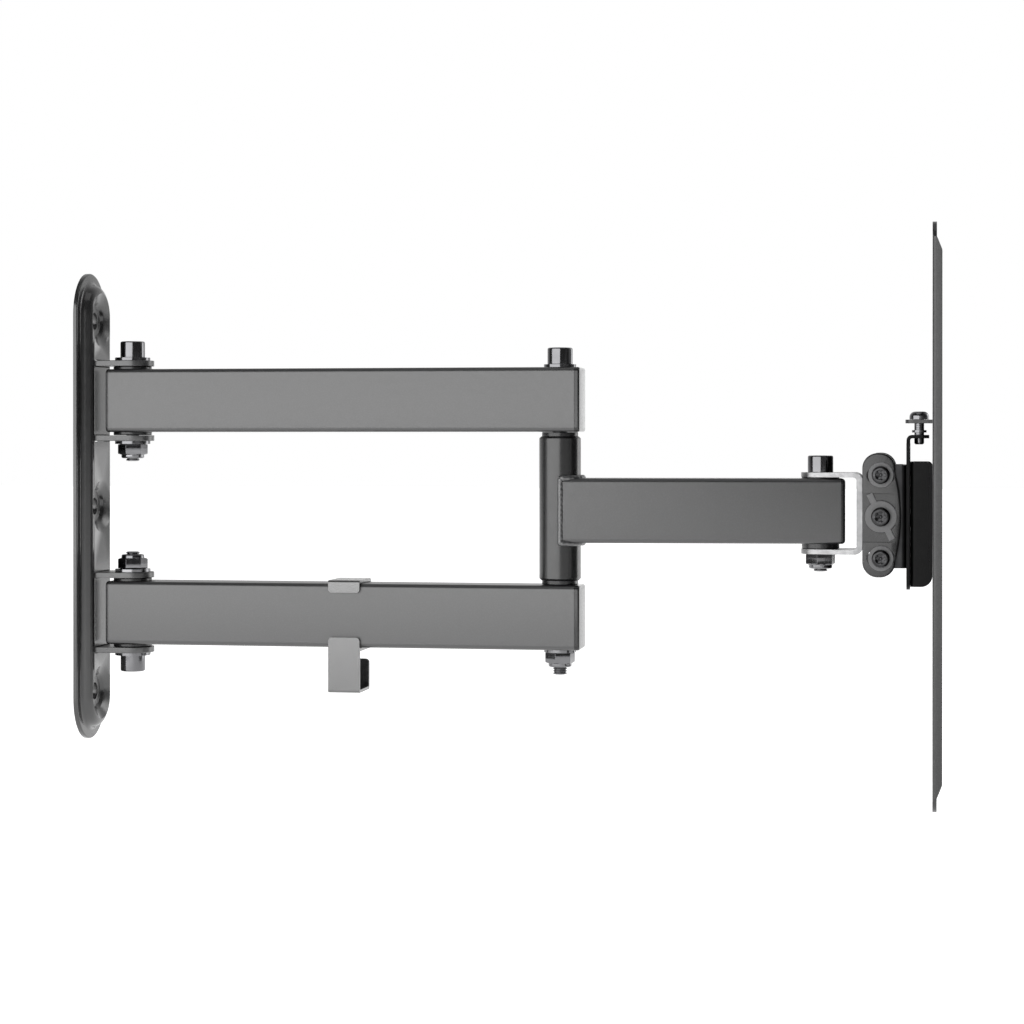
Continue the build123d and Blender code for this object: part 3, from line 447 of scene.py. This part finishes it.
def cap_screw_rows(head_radius, length):
    """A cap screw with its seat at height 0, a hexagonal socket above and a threaded end below."""
    tip = -length
    rows = [(PIVOT_RADIUS - 0.7, tip, "round")]
    rows += thread(PIVOT_RADIUS, tip, tip + PIVOT_THREAD_LENGTH, PIVOT_PITCH)
    rows += [(PIVOT_RADIUS, tip + PIVOT_THREAD_LENGTH + 0.6, "round"), (PIVOT_RADIUS, 0.0, "round")]
    rows += [(head_radius - CAP_SEAT_BEVEL, 0.0, "round"), (head_radius, CAP_SEAT_BEVEL, "round")]
    rows += rounded(head_radius, CAP_HEAD_HEIGHT, CAP_HEAD_ROUND)
    rows += [(SOCKET_HALF_FLATS * 1.2, CAP_HEAD_HEIGHT, "round")]
    rows += [(SOCKET_HALF_FLATS, CAP_HEAD_HEIGHT - SOCKET_MOUTH_BEVEL, "hex")]
    rows += [(SOCKET_HALF_FLATS, CAP_HEAD_HEIGHT - SOCKET_DEPTH, "hex")]
    rows += [(0.2, CAP_HEAD_HEIGHT - SOCKET_DEPTH - DRILL_CONE, "round")]
    return rows


def lock_nut_rows():
    """A hexagonal lock nut standing on height 0, chamfered at both ends, with a rolled collar."""
    corner = NUT_HALF_FLATS / math.cos(math.pi / 6)
    flat = NUT_HALF_FLATS
    rows = [(PIVOT_RADIUS, 0.0, "round"), (flat - NUT_SEAT_BEVEL, 0.0, "round")]
    rows += [(flat * 0.985, 0.2, "hex"), (flat, NUT_FOOT_CHAMFER, "hex")]
    rows += [(flat, NUT_HEX_HEIGHT - NUT_TOP_CHAMFER, "hex")]
    rows += [(flat * 0.97, NUT_HEX_HEIGHT - 0.3, "hex"), (corner * 0.83, NUT_HEX_HEIGHT, "round")]
    rows += [(NUT_COLLAR_RADIUS, NUT_HEX_HEIGHT + 0.05, "round")]
    rows += rounded(NUT_COLLAR_RADIUS, NUT_HEIGHT, NUT_COLLAR_ROUND)
    rows += [(NUT_MOUTH_RADIUS, NUT_HEIGHT - 0.05, "round")]
    rows += [(NUT_MOUTH_RADIUS - 0.1, NUT_HEIGHT - 0.45, "round")]
    rows += [(PIVOT_RADIUS, NUT_HEIGHT - 0.5, "round")]
    return rows


def lobed_screw_rows(head_radius, length):
    """A low round-headed screw, seat at height 0, with a six-lobed socket and a centre pin."""
    top = LOBED_HEAD_HEIGHT
    rows = [(TILT_SCREW_RADIUS - 0.4, -length, "round")]
    rows += thread(TILT_SCREW_RADIUS, -length, -length + TILT_THREAD_LENGTH, TILT_PITCH)
    rows += [(TILT_SCREW_RADIUS, -length + TILT_THREAD_LENGTH + 0.4, "round")]
    rows += [(TILT_SCREW_RADIUS, 0.0, "round")]
    rows += [(head_radius - 0.1, 0.0, "round"), (head_radius, 0.1, "round")]
    rows += rounded(head_radius, top, LOBED_HEAD_ROUND, steps=8)
    rows += [(2.15, top, "round"), (1.85, top - 0.2, "lobed"), (1.8, top - 1.7, "lobed")]
    rows += [(0.66, top - 1.75, "round"), (0.62, top - 0.55, "round"), (0.4, top - 0.35, "round")]
    return rows


def insert_rows():
    """The nylon ring in a lock nut's collar, on the same height 0 as the nut."""
    rows = [(PIVOT_RADIUS, INSERT_SEAT, "round"), (INSERT_RADIUS, INSERT_SEAT, "round")]
    rows += [(INSERT_RADIUS, INSERT_SEAT + 0.45, "round"), (3.3, INSERT_SEAT + 0.65, "round")]
    rows += [(PIVOT_RADIUS + 0.02, INSERT_SEAT + 0.4, "round")]
    return rows


def pivot_hardware():
    """Cap screws and lock nuts of the four vertical pivots, each nut with its nylon insert."""
    upside_down = Matrix.Rotation(math.pi, 4, "X")
    upright = Matrix.Identity(4)
    screws = (
        ("upper_wall_pivot_screw", "wall", True),
        ("lower_wall_pivot_screw", "wall", False),
        ("elbow_screw", "rear_arm", True),
        ("head_pivot_screw", "swivel_head", True),
    )
    for node, body, head_up in screws:
        low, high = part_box(node)
        centre = (low + high) / 2
        head_radius = (high.x - low.x) / 2 / MM
        length = (high.z - low.z) / MM - CAP_HEAD_HEIGHT
        seat = high.z - CAP_HEAD_HEIGHT * MM if head_up else low.z + CAP_HEAD_HEIGHT * MM
        place = Matrix.Translation((centre.x, centre.y, seat)) @ (upright if head_up else upside_down)
        rows = cap_screw_rows(head_radius, length)
        lathe(node + "_turned", rows, place, finishes["black_hardware"], body, (node,))
    nuts = (
        ("upper_wall_lock_nut", "wall_pivot_lock_nuts", "wall", False),
        ("lower_wall_lock_nut", "wall_pivot_lock_nuts", "wall", True),
        ("elbow_lock_nut_turned", "elbow_lock_nut", "rear_arm", False),
        ("head_lock_nut_turned", "head_pivot_lock_nut", "swivel_head", False),
    )
    for name, node, body, points_up in nuts:
        low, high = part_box(node)
        centre = (low + high) / 2
        seat = low.z if points_up else high.z
        turn = NUT_TURN if points_up else -NUT_TURN
        place = Matrix.Translation((centre.x, centre.y, seat)) @ (upright if points_up else upside_down)
        lathe(name, lock_nut_rows(), place, finishes["black_hardware"], body, (node,), turn)
        lathe(name + "_insert", insert_rows(), place, nylon, body)


def tilt_hardware():
    """Six-lobed screws on both cheeks of the yoke: the tilt axis and the two clamps of each side."""
    pivot_low, pivot_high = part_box("tilt_pivot_screws")
    clamp_low, clamp_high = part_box("tilt_clamp_screws")
    axis = (pivot_low + pivot_high) / 2
    pivot_radius = (pivot_high.x - pivot_low.x) / 2
    clamp_radius = (clamp_high.x - clamp_low.x) / 2
    clamp_reach = (clamp_high.z - clamp_low.z) / 2 - clamp_radius
    for side, word in ((-1, "near"), (1, "far")):
        turn = Matrix.Rotation(math.pi / 2 if side < 0 else -math.pi / 2, 4, "X")
        kinds = [("tilt_pivot_screw", 0.0, pivot_radius, pivot_high.y, "tilt_pivot_nuts", "swivel_head")]
        for height, level in ((clamp_reach, "upper"), (-clamp_reach, "lower")):
            name = level + "_clamp_screw"
            kinds.append((name, height, clamp_radius, clamp_high.y, "tilt_clamp_nuts", "tilt_head"))
        for kind, height, radius, outer, nut, body in kinds:
            seat = outer - axis.y - LOBED_HEAD_HEIGHT * MM
            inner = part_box(nut)[1].y - axis.y - TILT_NUT_HEIGHT * MM
            rows = lobed_screw_rows(radius / MM, (seat - inner) / MM)
            place = Matrix.Translation((axis.x, axis.y + side * seat, axis.z + height)) @ turn
            node = "tilt_pivot_screws" if body == "swivel_head" else "tilt_clamp_screws"
            lathe(kind + "_" + word, rows, place, dark_screw, body, (node,))


def yoke_rivets():
    """Two rivets between the swivel bracket and the yoke, domed inside the yoke and flush behind."""
    low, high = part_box("yoke_rivets")
    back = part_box("swivel_bracket")[1].x - SWIVEL_WEB_SHEET * MM
    radius = (high.y - low.y) / 2
    length = (high.x - back) / MM
    under_head = length - RIVET_HEAD_HEIGHT
    rows = [(RIVET_SHANK_RADIUS - 0.1, -0.05, "round"), (RIVET_SHANK_RADIUS, 0.0, "round")]
    rows += [(RIVET_SHANK_RADIUS, under_head, "round"), (radius / MM, under_head, "round")]
    rows += rounded(radius / MM, length, RIVET_HEAD_ROUND)
    rows += [(0.8, length + 0.05, "round")]
    along = Matrix.Rotation(math.pi / 2, 4, "Y")
    for height, level in ((low.z + radius, "lower"), (high.z - radius, "upper")):
        place = Matrix.Translation((back, (low.y + high.y) / 2, height)) @ along
        name = "yoke_rivet_" + level
        metal = finishes["black_hardware"]
        lathe(name, rows, place, metal, "swivel_head", ("yoke_rivets",))


def lock_screw_thread():
    """The thread of the lock screw, on the shank below the plate's tab."""
    low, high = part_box("plate_lock_screw")
    centre = (low + high) / 2
    tab_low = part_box("lock_screw_retaining_ring")[1].z + TAB_ABOVE_RING * MM
    length = (tab_low - low.z) / MM
    rows = [(1.3, 0.3, "round")]
    rows += thread(LOCK_SCREW_RADIUS, 0.4, length, LOCK_PITCH)
    rows += [(1.5, length, "round")]
    place = Matrix.Translation((centre.x, centre.y, low.z))
    lathe("lock_screw_thread", rows, place, finishes["black_hardware"], "lock_screw")


def spot_welds():
    """Four shallow spot-weld marks on the brim of the slide channel."""
    low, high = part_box("slide_channel")
    centre = (low + high) / 2
    brim_x = high.x - CHANNEL_BRIM_SHEET * MM
    towards_wall = Matrix.Rotation(-math.pi / 2, 4, "Y")
    rows = [(2.6, -0.1, "round"), (2.5, 0.06, "round"), (2.1, 0.16, "round"), (1.7, 0.12, "round")]
    rows += [(1.3, 0.02, "round"), (0.4, 0.01, "round")]
    for side, word in ((-1, "near"), (1, "far")):
        for height, level in SPOT_WELD_HEIGHTS:
            across = centre.y + side * SPOT_WELD_SIDE * MM
            place = Matrix.Translation((brim_x, across, height * MM)) @ towards_wall
            name = "channel_weld_" + level + "_" + word
            lathe(name, rows, place, finishes["black_channel"], "screen_mount")


def bead_path(side, bottom, top):
    """Closed path: up the tube's near side, over it along the sleeve's curve, down and back below it."""
    start = BEAD_START * MM
    step = BEAD_STEP * MM
    rise = int((top - bottom) / step)
    arc = int(math.pi * side / step)
    path = []
    for i in range(rise):
        path.append((start, -side, bottom + (top - bottom) * i / rise))
    for i in range(arc):
        angle = math.pi * i / arc - math.pi / 2
        path.append((start + side * math.cos(angle), side * math.sin(angle), top))
    for i in range(rise):
        path.append((start, side, top - (top - bottom) * i / rise))
    for i in range(arc):
        angle = math.pi / 2 - math.pi * i / arc
        path.append((start + side * math.cos(angle), side * math.sin(angle), bottom))
    return path


def weld_bead():
    """A rippled fillet weld all round the joint between the front arm's tube and the elbow sleeve."""
    elbow = hinge_places["elbow_fold"]
    along = (hinge_places["head_swivel"] - elbow).normalized()
    across = Vector((-along.y, along.x, 0.0))
    low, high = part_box("front_arm_tube")
    sleeve_low, sleeve_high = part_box("elbow_sleeve")
    sleeve = (sleeve_high.x - sleeve_low.x) / 2
    path = bead_path(sleeve + BEAD_GAP * MM, low.z - BEAD_OVERLAP * MM, high.z + BEAD_OVERLAP * MM)
    chance = random.Random(SEED)
    bm = bmesh.new()
    rings = []
    for i, (u, v, z) in enumerate(path):
        before = Vector(path[i - 1])
        after = Vector(path[(i + 1) % len(path)])
        ahead = (after - before).normalized()
        aside = Vector((0.37, 0.21, 0.9)) if abs(ahead.z) < 0.9 else Vector((1.0, 0.0, 0.0))
        first = ahead.cross(aside).normalized()
        second = ahead.cross(first)
        short = RIPPLE * math.sin(2.0 * math.pi * i / SHORT_RIPPLE)
        long = RIPPLE * math.sin(2.0 * math.pi * i / LONG_RIPPLE)
        radius = BEAD_RADIUS * MM * (1.0 + short + long + chance.uniform(-RIPPLE_CHANCE, RIPPLE_CHANCE))
        ring = []
        for k in range(BEAD_SIDES):
            angle = 2.0 * math.pi * k / BEAD_SIDES
            local = Vector((u, v, z)) + (first * math.cos(angle) + second * math.sin(angle)) * radius
            world = along * local.x + across * local.y + Vector((elbow.x, elbow.y, local.z))
            ring.append(bm.verts.new(world))
        rings.append(ring)
    for i in range(len(rings)):
        after = rings[(i + 1) % len(rings)]
        for k in range(BEAD_SIDES):
            onward = (k + 1) % BEAD_SIDES
            bm.faces.new((rings[i][k], rings[i][onward], after[onward], after[k]))
    keep(bm, "elbow_weld_bead", Matrix.Identity(4), weld_coat, "front_arm")


pivot_hardware()
tilt_hardware()
yoke_rivets()
lock_screw_thread()
spot_welds()
weld_bead()

# ---------------------------------------------------------------- camera, light and stage

# Metres, degrees and watts
CAMERA_PLACE = (0.36069, -1.03469, 0.02904)
CAMERA_AZIMUTH = 9.565
CAMERA_PITCH = 0.184
CAMERA_SHIFT = -0.0635
LENS = 87.67
SENSOR = 36.0
BACKDROP_DIM = 0.1
BACKDROP_BRIGHT = 0.9
FLOOR_SIZE = 12.0
FLOOR_DROP = 0.12


def look_camera():
    """The camera: a long lens, level with the arms and a little to the screen's side of square-on."""
    data = bpy.data.cameras.new("camera")
    data.sensor_width = SENSOR
    data.lens = LENS
    data.shift_y = CAMERA_SHIFT
    data.clip_start = 0.05
    data.clip_end = 50.0
    camera = bpy.data.objects.new("camera", data)
    bpy.context.scene.collection.objects.link(camera)
    camera.location = CAMERA_PLACE
    level = math.radians(90.0)
    camera.rotation_euler = (level - math.radians(CAMERA_PITCH), 0.0, math.radians(CAMERA_AZIMUTH))
    bpy.context.scene.camera = camera


def softbox(name, azimuth, height, distance, width, tall, power, aim):
    """A rectangular light round the object: azimuth 0 is on the camera's side and 90 past the screen."""
    data = bpy.data.lights.new(name, "AREA")
    data.shape = "RECTANGLE"
    data.size = width
    data.size_y = tall
    data.energy = power
    light = bpy.data.objects.new(name, data)
    bpy.context.scene.collection.objects.link(light)
    turn = math.radians(azimuth)
    light.location = aim + Vector((math.sin(turn) * distance, -math.cos(turn) * distance, height))
    light.rotation_euler = (aim - light.location).to_track_quat("-Z", "Y").to_euler()


def surroundings():
    """A world that the eye sees as white, and that lights the object from a brighter backdrop behind it."""
    world = bpy.data.worlds.new("studio")
    bpy.context.scene.world = world
    world.use_nodes = True
    world.node_tree.nodes.clear()
    out = add(world, "ShaderNodeOutputWorld")
    seen = add(world, "ShaderNodeBackground", Color=(1.0, 1.0, 1.0, 1.0), Strength=1.0)
    lit = add(world, "ShaderNodeBackground")
    place = add(world, "ShaderNodeTexCoord")
    split = add(world, "ShaderNodeSeparateXYZ")
    link(world, place.outputs["Generated"], split.inputs["Vector"])
    total = add(world, "ShaderNodeMath", operation="ADD")
    behind = ramp(world, split.outputs["Y"], BACKDROP_DIM, BACKDROP_BRIGHT, start=0.0, end=0.7)
    straight = ramp(world, split.outputs["Y"], 0.0, BACKDROP_BRIGHT, start=0.955, end=0.985)
    link(world, behind, total.inputs[0])
    link(world, straight, total.inputs[1])
    link(world, total.outputs["Value"], lit.inputs["Strength"])
    path = add(world, "ShaderNodeLightPath")
    both = add(world, "ShaderNodeMixShader")
    link(world, path.outputs["Is Camera Ray"], both.inputs["Fac"])
    link(world, lit.outputs["Background"], both.inputs[1])
    link(world, seen.outputs["Background"], both.inputs[2])
    link(world, both.outputs["Shader"], out.inputs["Surface"])


def lamps():
    """A large softbox in front on the left, a strip behind on the right and a soft light overhead."""
    centre = (cad_low + cad_high) / 2
    softbox(
        "key_softbox", azimuth=-31.0, height=0.28, distance=1.3, width=2.1, tall=0.9, power=18.0, aim=centre
    )
    softbox(
        "rear_strip", azimuth=130.0, height=0.1, distance=1.5, width=0.6, tall=1.2, power=5.0, aim=centre
    )
    softbox(
        "top_softbox", azimuth=20.0, height=1.4, distance=0.3, width=1.2, tall=0.8, power=2.0, aim=centre
    )


def floor():
    """A plain pale floor well under the object."""
    bm = bmesh.new()
    bmesh.ops.create_grid(bm, x_segments=8, y_segments=8, size=FLOOR_SIZE)
    mesh = bpy.data.meshes.new("floor")
    bm.to_mesh(mesh)
    bm.free()
    plane = bpy.data.objects.new("floor", mesh)
    bpy.context.scene.collection.objects.link(plane)
    plane.location = (0.0, 0.0, cad_low.z - FLOOR_DROP)
    mat, shader = new_material("floor_white", (0.86, 0.86, 0.86), 0.8)
    shader.inputs["Emission Color"].default_value = (1.0, 1.0, 1.0, 1.0)
    shader.inputs["Emission Strength"].default_value = 0.97
    mesh.materials.append(mat)


bpy.context.scene.view_settings.view_transform = "Standard"
look_camera()
surroundings()
lamps()
floor()
